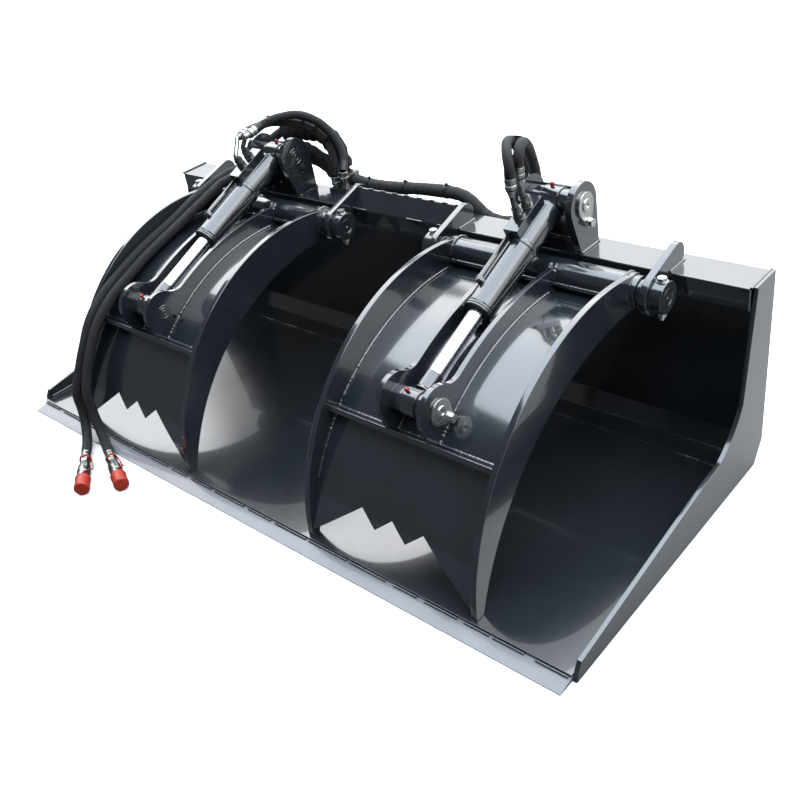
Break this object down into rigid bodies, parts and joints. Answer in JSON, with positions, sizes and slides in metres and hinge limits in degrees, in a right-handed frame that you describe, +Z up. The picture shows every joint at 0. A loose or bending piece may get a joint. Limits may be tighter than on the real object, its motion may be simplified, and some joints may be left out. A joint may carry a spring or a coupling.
{
  "type": "grapple bucket",
  "caption": "Wide loader bucket with two separate hydraulic grapples hinged on its top rail, each worked by a cylinder, with hoses and quick couplers.",
  "frame": {"origin": "on the ground under the middle of the whole bucket, halfway from the cutting edge tip to the rear of the lower ledge", "axes": "+X across the bucket towards its right side as seen from in front of the edge, +Y from the cutting edge back to the mounting plate, +Z up"},
  "size_m": [1.83, 1.0472, 0.7325],
  "materials": {
    "paint": "glossy anthracite paint",
    "pin_steel": "machined steel, dark",
    "zinc": "zinc plated",
    "chrome": "polished hard chrome",
    "sleeve": "hose in woven black sleeve",
    "cap": "moulded orange red"
  },
  "bodies": {
    "bucket": {"floor_sheet": "paint", "back_sheet": "paint", "cutting_edge": "paint", "side_plate_left": "paint", "side_plate_right": "paint", "top_rail": "paint", "centre_rib": "paint", "wear_bars": "paint", "mounting_plate": "paint", "rear_gussets": "paint", "hinge_brackets": "paint", "hinge_collars": "paint", "hinge_shafts": "pin_steel", "collar_bolts": "zinc", "tower_plates": "paint", "tower_back_plates": "paint", "tower_spacers": "paint", "tower_pins": "pin_steel", "tower_pin_flags": "zinc", "hose_tees": "zinc", "rail_hoses": "sleeve", "cylinder_hoses_left": "sleeve", "cylinder_hoses_right": "sleeve", "supply_hoses_rear": "sleeve"},
    "grapple_left": {"arms_left": "paint", "skin_left": "paint", "ears_left": "paint", "crossbar_left": "paint", "hinge_tube_left": "paint", "hinge_bushes_left": "pin_steel", "rod_pin_left": "pin_steel", "rod_pin_flag_left": "zinc", "supply_hoses_front": "sleeve", "quick_couplers": "zinc", "dust_caps": "cap"},
    "grapple_right": {"arms_right": "paint", "skin_right": "paint", "ears_right": "paint", "crossbar_right": "paint", "hinge_tube_right": "paint", "hinge_bushes_right": "pin_steel", "rod_pin_right": "pin_steel", "rod_pin_flag_right": "zinc"},
    "cylinder_left": {"barrel_left": "paint", "gland_left": "pin_steel", "base_eye_left": "paint", "port_block_left": "paint", "barrel_pipe_left": "paint", "hose_elbows_left": "zinc"},
    "cylinder_right": {"barrel_right": "paint", "gland_right": "pin_steel", "base_eye_right": "paint", "port_block_right": "paint", "barrel_pipe_right": "paint", "hose_elbows_right": "zinc"},
    "ram_left": {"rod_left": "chrome", "rod_eye_left": "paint"},
    "ram_right": {"rod_right": "chrome", "rod_eye_right": "paint"}
  },
  "joints": [
    {"name": "grapple_left_hinge", "type": "hinge", "parent": "bucket", "child": "grapple_left", "pos_m": [-0.4517, 0.216, 0.4364], "axis": [-1, 0, 0], "range_deg": [0, 55], "deforming": ["supply_hoses_rear"]},
    {"name": "cylinder_left_tilt", "type": "hinge", "parent": "bucket", "child": "cylinder_left", "pos_m": [-0.4517, 0.2925, 0.5674], "axis": [-1, 0, 0], "range_deg": [0, 46.2], "deforming": ["cylinder_hoses_left"]},
    {"name": "ram_left_slide", "type": "slide", "parent": "cylinder_left", "child": "ram_left", "axis": [0, 0.9212, 0.3891], "range_m": [0, 0.1172]},
    {"name": "grapple_right_hinge", "type": "hinge", "parent": "bucket", "child": "grapple_right", "pos_m": [0.4517, 0.216, 0.4364], "axis": [-1, 0, 0], "range_deg": [0, 55]},
    {"name": "cylinder_right_tilt", "type": "hinge", "parent": "bucket", "child": "cylinder_right", "pos_m": [0.4517, 0.2925, 0.5674], "axis": [-1, 0, 0], "range_deg": [0, 46.2], "deforming": ["cylinder_hoses_right"]},
    {"name": "ram_right_slide", "type": "slide", "parent": "cylinder_right", "child": "ram_right", "axis": [0, 0.9212, 0.3891], "range_m": [0, 0.1172]}
  ],
  "couplings": [
    {"joint": "cylinder_left_tilt", "follows": "grapple_left_hinge", "ratio": 0.8367},
    {"joint": "ram_left_slide", "follows": "grapple_left_hinge", "m_per_rad": 0.1217},
    {"joint": "cylinder_right_tilt", "follows": "grapple_right_hinge", "ratio": 0.8367},
    {"joint": "ram_right_slide", "follows": "grapple_right_hinge", "m_per_rad": 0.1217}
  ]
}
